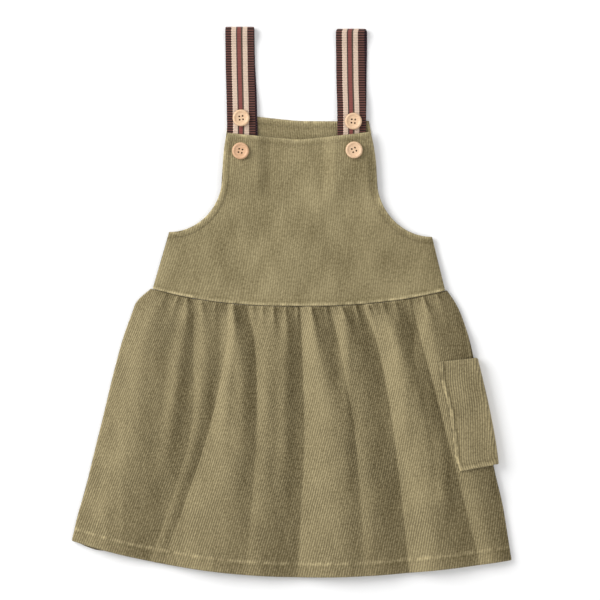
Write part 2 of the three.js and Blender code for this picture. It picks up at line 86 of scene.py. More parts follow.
# The folds of the skirt's front, left to right: x and height at each of the four levels.
FOLD_LEVELS = [0, 0.15, 0.5, 1]
FRONT_FOLDS = [
    ("crest", (-121, -130, -139, -161), (1.2, 4.0, 5.2, 5.0)),
    ("valley", (-92, -92, -95, -130), (0.3, 1.4, 2.6, 0.9)),
    ("crest", (-82, -80, -90, -125), (1.4, 3.2, 3.0, 1.1)),
    ("valley", (-62, -63, -80, -119), (0.3, 0.9, 1.2, 1.0)),
    ("crest", (-56, -51, -51, -73), (2.4, 5.0, 6.2, 6.0)),
    ("valley", (-45, -38, -37, -47), (0.5, 2.0, 3.8, 5.4)),
    ("crest", (-22, -25, -27, -38), (2.0, 4.2, 4.8, 5.6)),
    ("valley", (1, 3, 5, -1), (0.3, 0.5, 0.6, 0.7)),
    ("crest", (12, 18, 38, 41), (2.6, 5.2, 6.8, 6.2)),
    ("valley", (27, 36, 50, 58), (0.5, 1.6, 4.6, 5.0)),
    ("crest", (41, 49, 57, 65), (2.0, 4.2, 5.2, 5.3)),
    ("valley", (56, 69, 84, 97), (0.3, 0.6, 0.7, 0.6)),
    ("crest", (65, 87, 112, 124), (2.8, 5.6, 6.2, 5.6)),
    ("valley", (98, 107, 129, 159), (0.4, 1.0, 1.0, 2.0)),
    ("crest", (111, 119, 143, 170), (1.8, 3.8, 3.0, 3.0)),
]

# Short gathers below the waist seam: x, lean (mm across for each mm down), height, half width,
# and the length over which they fade.
GATHERS = [
    (-116, -0.35, 0.7, 3.2, 16), (-105, -0.30, 1.0, 2.6, 20), (-97, -0.05, 1.2, 2.4, 17),
    (-85, 0.10, 1.1, 2.8, 22), (-72, -0.10, 0.6, 2.4, 13), (-57, 0.02, 1.8, 3.0, 30),
    (-40, 0.05, 0.8, 3.0, 15), (-31, -0.05, 0.7, 2.2, 12), (-22, 0.05, 1.3, 2.6, 20),
    (-11, 0.02, 1.0, 2.2, 17), (-1, 0.05, 1.3, 2.2, 15), (11, 0.15, 1.9, 2.8, 32),
    (24, 0.20, 0.8, 2.6, 14), (37, 0.42, 1.5, 2.8, 20), (50, 0.25, 1.0, 2.4, 16),
    (60, 0.32, 1.7, 2.8, 26), (73, 0.35, 0.9, 3.2, 16), (84, 0.35, 0.8, 2.8, 18),
    (97, 0.20, 0.7, 3.0, 14), (109, 0.30, 1.4, 2.8, 30), (121, 0.35, 0.7, 2.6, 18),
]

# Troughs in the underside of the skirt's back: x at waist and hem, height, half width, reach.
BACK_TROUGHS = [
    (-96, -128, 1.6, 7, 0.75), (-58, -74, 1.9, 6, 0.55), (-8, -14, 1.7, 7, 0.8),
    (39, 52, 1.9, 6, 0.6), (84, 104, 1.5, 8, 0.7),
]

# Bodice panels: waist corner, underarm corner, the bend of the armhole, bib corner, neckline dip.
FRONT_BODICE = dict(
    left=dict(side=-127.8, corner=(-113.4, 302.5), bend=(-66.6, 352), top=(-62.9, 389.4)),
    right=dict(side=128.5, corner=(117.0, 298.2), bend=(68.5, 350), top=(63.0, 390.1)),
    dip=6.2, power=1.15)
BACK_BODICE = dict(
    left=dict(side=-127.4, corner=(-112.6, 301.6), bend=(-65.0, 352), top=(-61.2, 406.4)),
    right=dict(side=128.0, corner=(116.0, 297.4), bend=(67.0, 350), top=(61.6, 399.8)),
    dip=3.2, power=1.15)

# The pocket folded round the right side edge: down, left x and y, fold x and y.
POCKET_DOWN = [0.0, 0.2, 0.45, 0.7, 0.9, 1.0]
POCKET_LEFT_X = [122.5, 125.2, 131.2, 135.0, 137.6, 141.2]
POCKET_LEFT_Y = [188.9, 170.0, 147.5, 122.0, 102.5, 92.9]
POCKET_FOLD_X = [156.9, 161.5, 166.9, 171.6, 174.3, 175.4]
POCKET_FOLD_Y = [192.2, 173.6, 150.0, 126.0, 108.5, 99.1]
POCKET_BACK_WIDTH = 34
POCKET_RAMP = (24, 11)

WEB_WIDTH = 25
WEB_THICK = 1.4
STRAPS = {
    "left": dict(top=482.4, front=(-51.7, -50.1), back=(-51.2, -48.2)),
    "right": dict(top=480.6, front=(45.2, 46.5), back=(47.6, 46.7)),
}
STRAP_RUN = dict(back_end=386, front_end=351, step=(413, 433), over_end=(370, 383),
                 loop_radius=2.3, loop_length=16)

BUTTONS = {
    "strap_button_left": (-50.2, 402.3, 8), "bib_button_left": (-50.7, 373.3, -12),
    "strap_button_right": (48.0, 399.4, -6), "bib_button_right": (48.6, 374.1, 24),
}

# The side seam where it shows above the pocket.
SIDE_SEAM = [(145.2, 226.0), (146.9, 216.6), (150.4, 192.0)]

SIDE_ROLL = 9
SKIRT_LOFT = 1.3
BODICE_LOFT = 1.3
BIB_LIFT = 3.2
# Above this value the cloth's colour gets a painted highlight.
PAINTED_HIGHLIGHT_START = 0.8
INSIDE_NAP = -0.6
HEM_TURN = 10.0
EDGE_TURN = 5.6

# ---------------- small mathematics


def to_world(points):
    """Garment millimetres to the row frame's metres."""
    shift = (cad_low[0] / MM - SKIRT_LEFT[-1], cad_high[1] / MM - STRAPS["left"]["top"], 0.0)
    return (np.asarray(points, float) + shift) * MM


def mix(a, b, t):
    return a + (b - a) * t


def smooth(start, stop, at):
    t = np.clip((at - start) / (stop - start), 0, 1)
    return t * t * (3 - 2 * t)


def bell(offset, half_width):
    return np.exp(-((offset / half_width) ** 2))


def curve_at(places, values, at):
    """A smooth curve through values at given places, as the CAD source reads its tables."""
    places = np.asarray(places, float)
    values = np.asarray(values, float)
    at = np.clip(np.asarray(at, float), places[0], places[-1])
    last = len(places) - 1
    before = np.maximum(np.arange(last + 1) - 1, 0)
    after = np.minimum(np.arange(last + 1) + 1, last)
    slopes = (values[after] - values[before]) / (places[after] - places[before])
    k = np.clip(np.searchsorted(places, at, side="left") - 1, 0, last - 1)
    span = places[k + 1] - places[k]
    t = (at - places[k]) / span
    held = (1 + 2 * t) * (1 - t) ** 2 * values[k] + t * t * (3 - 2 * t) * values[k + 1]
    return held + span * (t * (1 - t) ** 2 * slopes[k] - t * t * (1 - t) * slopes[k + 1])


def skirt_left(down):
    return curve_at(SKIRT_DOWN, SKIRT_LEFT, down)


def skirt_right(down):
    return curve_at(SKIRT_DOWN, SKIRT_RIGHT, down)


def waist_y(x):
    rise = np.where(x < 0, WAIST["rise_left"], WAIST["rise_right"])
    return WAIST["lowest"] + rise * np.abs(x / WAIST["reach"]) ** WAIST["power"]


def hem_y(x):
    away = x - HEM["lowest_at"]
    left = HEM["rise_left"] * (np.maximum(-away, 0) / HEM["reach_left"]) ** HEM["power_left"]
    right = HEM["rise_right"] * (np.maximum(away, 0) / HEM["reach_right"]) ** HEM["power_right"]
    return np.where(away < 0, left, right)


def back_hem_y(x):
    return hem_y(x) + 1.2 - 3.0 * bell(x + 180, 14)


def ripple(x, y, size, seed):
    """A smooth, repeatable unevenness between about -1 and 1, of a given size in mm."""
    rng = np.random.default_rng(seed)
    total = np.zeros(np.broadcast(x, y).shape)
    for _ in range(6):
        angle, phase, stretch = rng.uniform(0, math.tau), rng.uniform(0, math.tau), rng.uniform(0.7, 1.6)
        wave = (x * math.cos(angle) + y * math.sin(angle)) * math.tau / (size * stretch)
        total = total + np.sin(wave + phase)
    return total / 3.2


# ---------------- heights of the layers


def down_at(x, y):
    top = waist_y(x * 0.75)
    return np.clip((top - y) / (top - hem_y(x)), 0, 1)


def fold_height(x, down):
    places = [skirt_left(down)] + [curve_at(FOLD_LEVELS, row[1], down) for row in FRONT_FOLDS]
    places.append(skirt_right(down))
    heights = [np.zeros_like(down)] + [curve_at(FOLD_LEVELS, row[2], down) for row in FRONT_FOLDS]
    heights.append(np.zeros_like(down))
    kinds = ["valley"] + [row[0] for row in FRONT_FOLDS] + ["valley"]
    result = np.zeros_like(down)
    for k in range(len(places) - 1):
        here = (x > places[k]) if k else np.ones_like(down, bool)
        t = np.clip((x - places[k]) / (places[k + 1] - places[k]), 0, 1)
        rise = t if kinds[k] == "valley" else 1 - t
        low, high = (heights[k], heights[k + 1]) if kinds[k] == "valley" else (heights[k + 1], heights[k])
        shape = mix(np.sin(rise * math.pi / 2), rise * rise * (3 - 2 * rise), 0.4)
        result = np.where(here, mix(low, high, shape), result)
    return result


def gather_height(x, y):
    below = np.maximum(waist_y(x) - y, 0)
    total = np.zeros_like(x)
    for at, lean, height, half_width, length in GATHERS:
        widening = half_width * (0.5 + below / 20)
        total += height * bell(x - at - lean * below, widening) * np.exp(-below / length)
    return total * (1 - np.exp(-below / 1.6))


def side_roll(x, left, right):
    inside = np.clip(np.minimum(x - left, right - x) / SIDE_ROLL, 0, 1)
    return np.sqrt(1 - (1 - inside) ** 2)


def back_skirt_low(x, y):
    down = down_at(x, y)
    troughs = np.zeros_like(x)
    for waist_x, hem_x, height, half_width, reach in BACK_TROUGHS:
        troughs += (height * bell(x - mix(waist_x, hem_x, down), half_width)
                    * smooth(0, 0.06, down) * (1 - smooth(reach * 0.5, reach, down)))
    top, bottom = POCKET_FOLD_Y[0], POCKET_FOLD_Y[-1]
    level = np.clip((top - y) / (top - bottom), 0, 1)
    inner = curve_at(POCKET_DOWN, POCKET_FOLD_X, level) - POCKET_BACK_WIDTH
    start, stop = POCKET_RAMP
    over = (smooth(inner - start, inner - stop, x)
            * smooth(POCKET_LEFT_Y[-1] - start - 8, POCKET_LEFT_Y[-1] - stop - 8, y)
            * (1 - smooth(top + stop + 6, top + start + 6, y)))
    return np.maximum(troughs, (CLOTH + SEAM_GAP) * over)


def front_skirt_low(x, y, down):
    roll = side_roll(x, skirt_left(down), skirt_right(down))
    air = SEAM_GAP + roll * (SKIRT_LOFT + fold_height(x, down))
    return back_skirt_low(x, y) + CLOTH + air


def strap_lift(x, y):
    near = [1 - smooth(0.5, 14, np.abs(x - s["front"][1]) - WEB_WIDTH / 2) for s in STRAPS.values()]
    return BIB_LIFT * np.maximum(*near) * smooth(328, STRAP_RUN["front_end"] - 2, y)


def front_bodice_low(x, y):
    half = mix(128.5, 117.0, smooth(waist_y(x), 300, y))
    wave = 0.35 * np.sin(x / 19 + y / 31) + 0.25 * np.sin(x / 11 - y / 23 + 2)
    roll = np.where(y < 300, side_roll(x, -half, half), 1.0)
    return CLOTH + SEAM_GAP + roll * (BODICE_LOFT + wave) + strap_lift(x, y)


def skirt_wales(x, y):
    """Which wale a place of the skirt is on: the wales fan out from the waist and lean right."""
    lean, spread = 0.253, 0.000689
    return (x - lean * y) / (1 - spread * y) / (1.06 * WALE_PITCH)


def bodice_wales(x, y):
    lean = mix(0.34, 0.14, smooth(-120, -20, x)) * (1 - 0.3 * smooth(290, 390, y))
    return (x - lean * (y - 300)) / WALE_PITCH


def wale_height(phase, depth):
    """A rounded wale with a narrow groove."""
    return depth * (np.abs(np.cos(math.pi * phase)) ** 0.8 - 1)


# ---------------- meshes


def new_object(name, points, faces, uvs=None, shades=None):
    """A mesh object from world points, faces of equal size, and corner values given by point."""
    mesh = bpy.data.meshes.new(name)
    mesh.from_pydata(np.asarray(points).tolist(), [], np.asarray(faces).tolist())
    mesh.update()
    loops = np.empty(len(mesh.loops), np.int32)
    mesh.loops.foreach_get("vertex_index", loops)
    if uvs is not None:
        layer = mesh.uv_layers.new(name="wale")
        layer.data.foreach_set("uv", np.asarray(uvs, np.float32)[loops].ravel())
    # The per-point value: on the cloth, random tone with painted light and shade mixed in; on the straps,
    # which face is the back.
    if shades is not None:
        attribute = mesh.attributes.new("tone_and_painted_light", "FLOAT", "POINT")
        attribute.data.foreach_set("value", np.asarray(shades, np.float32))
    mesh.polygons.foreach_set("use_smooth", np.ones(len(mesh.polygons), bool))
    thing = bpy.data.objects.new(name, mesh)
    bpy.context.scene.collection.objects.link(thing)
    return thing


def grid_faces(across, along, start=0):
    """Triangles of an (across+1) by (along+1) grid, with their diagonals all one way."""
    i, j = np.meshgrid(np.arange(across), np.arange(along), indexing="ij")
    a = (start + i * (along + 1) + j).ravel()
    b, c, d = a + along + 1, a + along + 2, a + 1
    return np.concatenate([np.stack([a, b, d], 1), np.stack([b, c, d], 1)])


def zip_lines(first, second):
    """Triangles between two lines of points with different numbers of points."""
    faces = []
    i = j = 0
    while i < len(first) - 1 or j < len(second) - 1:
        step_first = j == len(second) - 1 or (
            i < len(first) - 1 and (i + 1) / (len(first) - 1) <= (j + 1) / (len(second) - 1))
        if step_first:
            faces.append((first[i], first[i + 1], second[j]))
            i += 1
        else:
            faces.append((first[i], second[j + 1], second[j]))
            j += 1
    return np.array(faces)


def rim_faces(first, second, flip):
    """Triangles between two lines with as many points."""
    faces = np.concatenate([np.stack([first[:-1], second[:-1], second[1:]], 1),
                            np.stack([first[:-1], second[1:], first[1:]], 1)])
    return faces[:, ::-1] if flip else faces


def facing_out(points, faces):
    """The same triangles, all turned over if the volume that they enclose is negative."""
    p = points[faces]
    volume = np.einsum("ij,ij->i", p[:, 0], np.cross(p[:, 1], p[:, 2])).sum()
    return faces[:, ::-1] if volume < 0 else faces


def shell(name, outer, inner, uvs, shades):
    """A closed cloth shell: a fine outer grid and an inner one with as many columns."""
    columns, fine = outer.shape[:2]
    coarse = inner.shape[1]
    first_inner = columns * fine
    points = np.concatenate([outer.reshape(-1, 3), inner.reshape(-1, 3)])
    outer_id = np.arange(first_inner).reshape(columns, fine)
    inner_id = first_inner + np.arange(columns * coarse).reshape(columns, coarse)
    faces = [grid_faces(columns - 1, fine - 1), grid_faces(columns - 1, coarse - 1, first_inner)[:, ::-1]]
    for k, flip in ((0, False), (-1, True)):
        faces.append(rim_faces(outer_id[:, k], inner_id[:, k], flip))
        side = zip_lines(outer_id[k], inner_id[k])
        faces.append(side if flip else side[:, ::-1])
    inner_uv = inner[..., :2].reshape(-1, 2) / WALE_PITCH
    all_uvs = np.concatenate([uvs.reshape(-1, 2), inner_uv])
    all_shades = np.concatenate([shades.ravel(), np.full(columns * coarse, INSIDE_NAP)])
    faces = facing_out(points, np.concatenate(faces))
    return new_object(name, to_world(points), faces, all_uvs, all_shades)


def spaced(count, margins):
    """Shares from 0 to 1, even but for extra ones near both ends, where the edge is rounded."""
    margins = np.array(margins)
    return np.unique(np.round(np.concatenate([np.linspace(0, 1, count), margins, 1 - margins]), 6))


def rounded(distance, radius=0.9):
    """1 inside, falling to 0 at an edge as a quarter round."""
    t = np.clip(distance / radius, 0, 1)
    return np.sqrt(1 - (1 - t) ** 2)


def rim_painted_light(distance, width, light, uneven):
    """Painted light on a turned edge: a painted highlight along its rounded rim, and painted shade in the
    dent along its stitching.
    """
    rim = light * (1 - smooth(0.9, 3.4, distance)) * (0.75 + 0.5 * uneven)
    return rim - 0.4 * bell(distance - width, 0.8)


def distance_to(line, x, y):
    """The distance of each place from a line of points."""
    best = np.full(x.shape, 1e9)
    for (x0, y0), (x1, y1) in zip(line[:-1], line[1:], strict=True):
        dx, dy = x1 - x0, y1 - y0
        t = np.clip(((x - x0) * dx + (y - y0) * dy) / (dx * dx + dy * dy), 0, 1)
        best = np.minimum(best, np.hypot(x - x0 - t * dx, y - y0 - t * dy))
    return best


def turned_edge(distance, width, stitch_depth=0.35):
    """A turned and topstitched edge: a thicker band, and a dent along its stitching."""
    band = 0.35 * (1 - smooth(width - 0.8, width + 0.8, distance))
    return band - stitch_depth * bell(distance - width, 0.75)


# ---------------- skirt

LEAN_SHIFT = 0.15


def skirt_plan(u, down, hem):
    """The place of u across (0 left, 1 right) and down; columns in the middle lean as the wales."""
    u = u + LEAN_SHIFT * 4 * u * (1 - u) * (0.5 - down)
    waist_x = mix(SKIRT_LEFT[0], SKIRT_RIGHT[0], u)
    hem_x = mix(SKIRT_LEFT[-1], SKIRT_RIGHT[-1], u)
    x = mix(skirt_left(down), skirt_right(down), u)
    return x, mix(waist_y(waist_x) - SEAM_GAP / 2, hem(hem_x), down)


def skirt_grid(columns, rows, hem):
    u = spaced(columns, [0.0006, 0.0015, 0.003])
    down = spaced(rows, [0.001, 0.0025, 0.004])
    uu, dd = np.meshgrid(u, down, indexing="ij")
    x, y = skirt_plan(uu, dd, hem)
    return x, y, dd


def front_skirt_base(x, y, down):
    """The front skirt's inner face, with its gathers and its slight unevenness."""
    return front_skirt_low(x, y, down) + gather_height(x, y) + 0.25 * ripple(x, y, 46, 3)


def front_skirt_piece():
    x, y, down = skirt_grid(720, 102, hem_y)
    edge = np.minimum(x - skirt_left(down), skirt_right(down) - x)
    to_hem = (y - hem_y(x)) * 0.99
    to_waist = np.maximum(waist_y(x) - y, 0)
    wales = skirt_wales(x, y)
    body = rounded(edge, 1.6) * rounded(to_hem, 1.0)
    base = front_skirt_base(x, y, down)
    outer = base + CLOTH * mix(0.55, 1.0, body)
    outer += wale_height(wales, WALE_DEPTH) * body * smooth(0.3, 2.5, to_waist)
    outer += turned_edge(to_hem, HEM_TURN) * body
    outer -= 0.9 * bell(to_waist, 1.6)
    xi, yi, di = skirt_grid(720, 14, hem_y)
    inner = front_skirt_base(xi, yi, di) + CLOTH * 0.45 * (1 - rounded((yi - hem_y(xi)) * 0.99, 1.0))
    light_unevenness = ripple(x, y, 9, 61)
    # Painted light and shade: lighter on slopes facing the key light, a painted highlight along the hem's
    # rolled edge with painted shade at its stitching and a painted highlight just above it, a painted
    # highlight along the side seam with painted shade just right of it, a painted highlight on the
    # outermost side edges, and painted shade in a line below the waist seam. The value is also darker
    # within 16 mm of the left side edge.
    tone_and_painted_light = slope_painted_light(x, base, 0.85) + rim_painted_light(to_hem, HEM_TURN, 0.30, light_unevenness)
    tone_and_painted_light += 1.5 * bell(to_hem - HEM_TURN - 1.2, 0.8) * (0.7 + 0.6 * light_unevenness)
    tone_and_painted_light += 0.9 * bell(distance_to(SIDE_SEAM, x, y), 0.9)
    tone_and_painted_light -= 0.9 * bell(distance_to(SIDE_SEAM, x - 1.9, y), 0.9)
    tone_and_painted_light -= 0.5 * (1 - smooth(2.0, 16.0, x - skirt_left(down)))
    tone_and_painted_light += 0.4 * (1 - smooth(0.6, 2.0, edge)) - 0.45 * bell(to_waist - 3.4, 1.8) * (0.7 + 0.6 * light_unevenness)
    piece = shell("front_skirt_cloth", np.stack([x, y, outer], -1), np.stack([xi, yi, inner], -1),
                  np.stack([wales, y / 2.0], -1), tone_and_painted_light)
    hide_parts("front_skirt")
    return piece


def slope_painted_light(x, height, reach):
    """Painted light and shade: lighter on slopes that face the key light on the left, darker on those
    facing right.
    """
    slope = np.gradient(height, axis=0) / np.maximum(np.gradient(x, axis=0), 0.05)
    return np.clip(np.tanh(slope * 3.2) * reach, -1, 1)


def back_skirt_piece():
    x, y, down = skirt_grid(640, 96, back_hem_y)
    low = back_skirt_low(x, y)
    edge = np.minimum(x - skirt_left(down), skirt_right(down) - x)
    to_hem = (y - back_hem_y(x)) * 0.99
    to_waist = np.maximum(waist_y(x) - y, 0)
    wales = skirt_wales(-x, y)
    body = rounded(edge, 1.6) * rounded(to_hem, 1.0)
    outer = low + CLOTH * 0.45 * (1 - body)
    outer -= wale_height(wales, WALE_DEPTH) * body
    outer += 0.35 * bell(to_hem - HEM_TURN, 0.75) * body + 0.5 * bell(to_waist, 1.4)
    xi, yi, di = skirt_grid(640, 14, back_hem_y)
    inner = back_skirt_low(xi, yi) + CLOTH - CLOTH * 0.35 * (1 - rounded((yi - back_hem_y(xi)) * 0.99, 1.0))
    piece = shell("back_skirt_cloth", np.stack([x, y, outer], -1), np.stack([xi, yi, inner], -1),
                  np.stack([wales, y / 2.0], -1), 0.3 * ripple(x, y, 60, 8))
    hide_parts("back_skirt")
    return piece


# ---------------- bodice

ARMHOLE_SHARE = 0.3
TURN_SHARE = 0.62


def bodice_top(panel, u):
    """The top edge from the left underarm to the right one: armhole, bib side, neckline."""
    from_side = np.minimum(u, 1 - u) / ARMHOLE_SHARE
    on_left = u < 0.5

    def pick(name, k):
        return np.where(on_left, panel["left"][name][k], panel["right"][name][k])
    t = (u - ARMHOLE_SHARE) / (1 - 2 * ARMHOLE_SHARE)
    neck_x = mix(panel["left"]["top"][0], panel["right"]["top"][0], t)
    dip = panel["dip"] * (1 - np.minimum(np.abs(2 * t - 1), 1) ** panel["power"])
    neck_y = mix(panel["left"]["top"][1], panel["right"]["top"][1], t) - dip
    angle = np.clip(from_side / TURN_SHARE, 0, 1) * math.pi / 2
    arm_x = mix(pick("corner", 0), pick("bend", 0), np.sin(angle))
    arm_y = mix(pick("bend", 1), pick("corner", 1), np.cos(angle))
    s = np.clip((from_side - TURN_SHARE) / (1 - TURN_SHARE), 0, 1)
    side_x = mix(pick("bend", 0), pick("top", 0), s * s)
    side_y = mix(pick("bend", 1), pick("top", 1), s)
    x = np.where(from_side >= 1, neck_x, np.where(from_side <= TURN_SHARE, arm_x, side_x))
    y = np.where(from_side >= 1, neck_y, np.where(from_side <= TURN_SHARE, arm_y, side_y))
    return x, y


def bodice_plan(panel, u, up):
    top_x, top_y = bodice_top(panel, u)
    from_side = np.minimum(u, 1 - u) / ARMHOLE_SHARE
    on_left = u < 0.5
    side = np.where(on_left, panel["left"]["side"], panel["right"]["side"])
    bib_left, bib_right = panel["left"]["top"][0] * 1.06, panel["right"]["top"][0] * 1.06
    outer_x = mix(side, np.where(on_left, bib_left, bib_right),
                  np.sin(np.minimum(from_side, 1) * math.pi / 2))
    inner_x = mix(bib_left, bib_right, (u - ARMHOLE_SHARE) / (1 - 2 * ARMHOLE_SHARE))
    waist_x = np.where(from_side < 1, outer_x, inner_x)
    return mix(waist_x, top_x, up), mix(waist_y(waist_x) + SEAM_GAP / 2, top_y, up)


def top_line(panel, count=90):
    return list(zip(*[v.tolist() for v in bodice_top(panel, np.linspace(0, 1, count))], strict=True))


def bodice_columns(count):
    """Shares across with the columns about even in width: few in the armholes, most in the bib."""
    arm = np.linspace(0, ARMHOLE_SHARE, count // 4, endpoint=False)
    bib = np.linspace(ARMHOLE_SHARE, 1 - ARMHOLE_SHARE, count // 2, endpoint=False)
    u = np.concatenate([arm, bib, 1 - arm[::-1], [1 - ARMHOLE_SHARE]])
    return np.unique(np.round(np.concatenate([u, [1.0, 0.0015, 0.004, 0.9985, 0.996]]), 6))


def bodice_grid(panel, columns, rows):
    u = bodice_columns(columns)
    up = spaced(rows, [0.003, 0.007, 0.012])
    uu, vv = np.meshgrid(u, up, indexing="ij")
    x, y = bodice_plan(panel, uu, vv)
    return x, y


def side_distance(panel, x, y):
    """The distance from the side seams, measured across."""
    t = np.clip((y - 252) / (panel["left"]["corner"][1] - 252), 0, 1)
    left = mix(panel["left"]["side"], panel["left"]["corner"][0], t)
    right = mix(panel["right"]["side"], panel["right"]["corner"][0], t)
    below = y < panel["left"]["corner"][1] - 1
    return np.where(below, np.minimum(x - left, right - x), 1e3)


def front_bodice_base(x, y):
    """The front bodice's inner face, with its slight unevenness."""
    return front_bodice_low(x, y) + 0.22 * ripple(x, y, 52, 5)


def front_bodice_piece():
    x, y = bodice_grid(FRONT_BODICE, 620, 84)
    to_top = distance_to(top_line(FRONT_BODICE), x, y)
    to_side = side_distance(FRONT_BODICE, x, y)
    to_waist = np.maximum(y - waist_y(x), 0)
    wales = bodice_wales(x, y)
    body = rounded(to_top, 1.1) * rounded(to_side, 1.6)
    base = front_bodice_base(x, y)
    outer = base + CLOTH * mix(0.5, 1.0, body)
    outer += wale_height(wales, BODICE_WALE_DEPTH) * body
    outer += 1.3 * turned_edge(to_top, EDGE_TURN, 0.25) * body
    outer += 1.15 * bell(to_waist - 1.5, 1.9) + 0.45 * bell(to_waist - 1.5, 4.5)
    xi, yi = bodice_grid(FRONT_BODICE, 620, 12)
    inner = front_bodice_base(xi, yi)
    inner += 0.4 * CLOTH * (1 - rounded(distance_to(top_line(FRONT_BODICE), xi, yi), 1.1))
    light_unevenness = ripple(x, y, 8, 62)
    # Painted light and shade: lighter on slopes facing the key light, a painted highlight along the top
    # edge with painted shade at its stitching, and a painted highlight on the raised ridge above the waist
    # seam with painted shade in a line a little above it. The value also holds random tone, and is darker
    # towards the right underarm.
    tone_and_painted_light = slope_painted_light(x, base, 0.3) + 0.18 * ripple(x, y, 70, 12) + 0.22 * ripple(x, y, 26, 13)
    tone_and_painted_light -= 0.5 * smooth(62, 112, x) * smooth(252, 275, y)
    tone_and_painted_light += rim_painted_light(to_top, EDGE_TURN, 1.2, light_unevenness)
    tone_and_painted_light += 1.7 * bell(to_waist - 1.3, 1.1) * (0.7 + 0.6 * light_unevenness) - 0.4 * bell(to_waist - 4.4, 1.2)
    piece = shell("front_bodice_cloth", np.stack([x, y, outer], -1), np.stack([xi, yi, inner], -1),
                  np.stack([wales, y / 2.0], -1), tone_and_painted_light)
    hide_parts("front_bodice")
    return piece


def back_bodice_piece():
    # Both faces show: the inner one above the bib, and the outer one from below.
    x, y = bodice_grid(BACK_BODICE, 560, 60)
    to_top = distance_to(top_line(BACK_BODICE), x, y)
    to_side = side_distance(BACK_BODICE, x, y)
    wales = bodice_wales(-x, y)
    body = rounded(to_top, 1.0) * rounded(to_side, 1.2)
    upper = CLOTH * mix(0.55, 1.0, body) + wale_height(wales, BODICE_WALE_DEPTH) * body
    upper += turned_edge(to_top, EDGE_TURN, 0.3) * body * 0.8
    lower = CLOTH * 0.45 * (1 - body) - wale_height(wales, BODICE_WALE_DEPTH) * body
    # Random tone, with a painted highlight along the top edge and painted shade at its stitching.
    tone_and_painted_light = 0.3 * ripple(x, y, 40, 21) + rim_painted_light(to_top, EDGE_TURN, 1.2, ripple(x, y, 8, 63))
    piece = shell("back_bodice_cloth", np.stack([x, y, upper], -1), np.stack([x, y, lower], -1),
                  np.stack([wales, y / 2.0], -1), tone_and_painted_light)
    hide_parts("back_bodice")
    return piece


# ---------------- pocket

POCKET_TURN = 3.4
POCKET_SEAT = 0.55
FOLD_SQUARENESS = 0.6


def front_skirt_top(x, y):
    down = down_at(x, y)
    return front_skirt_low(x, y, down) + gather_height(x, y) + CLOTH


def pocket_seat_x(x, turn_x):
    """The place of the skirt whose height the pocket takes: it stops following it near the fold."""
    return x - 3 * np.log1p(np.exp((x - turn_x + 8) / 3))


def pocket_face(across, down):
    """The pocket's inner face and its outward direction, as arrays over across (mm) and down."""
    left = curve_at(POCKET_DOWN, POCKET_LEFT_X, down)
    fold = curve_at(POCKET_DOWN, POCKET_FOLD_X, down) - CLOTH
    left_y = curve_at(POCKET_DOWN, POCKET_LEFT_Y, down)
    fold_y = curve_at(POCKET_DOWN, POCKET_FOLD_Y, down)
    turn_x = fold - POCKET_TURN
    # across runs 0..1 on the front, 1..2 round the fold, and 2..3 on the back.
    front = np.clip(across, 0, 1)
    turning = np.clip(across - 1, 0, 1)
    back = np.clip(across - 2, 0, 1)
    x_front = mix(left, turn_x, front)
    y_front = mix(left_y, fold_y, np.clip((x_front - left) / (fold - left), 0, 1))
    z_front = front_skirt_top(pocket_seat_x(x_front, turn_x), y_front) + POCKET_SEAT
    z_turn = front_skirt_top(pocket_seat_x(turn_x, turn_x), fold_y) + POCKET_SEAT
    angle = turning * math.pi
    sideways, upward = np.sin(angle), np.cos(angle)
    squared_x = np.abs(sideways) ** FOLD_SQUARENESS
    squared_z = np.sign(upward) * np.abs(upward) ** FOLD_SQUARENESS
    middle = (z_turn + CLOTH) / 2
    on_turn, on_back = (across > 1) & (across < 2), across >= 2
    x = np.where(on_turn, turn_x + POCKET_TURN * squared_x, x_front)
    z = np.where(on_turn, middle + (z_turn - middle) * squared_z, z_front)
    x = np.where(on_back, turn_x - back * POCKET_BACK_WIDTH, x)
    z = np.where(on_back, CLOTH, z)
    y = np.where(on_back, mix(fold_y, left_y, back), np.where(on_turn, fold_y, y_front))
    out = np.stack([np.where(on_turn, sideways, 0), np.zeros_like(x),
                    np.where(on_back, -1, np.where(on_turn, upward, 1))], -1)
    return np.stack([x, y, z], -1), out


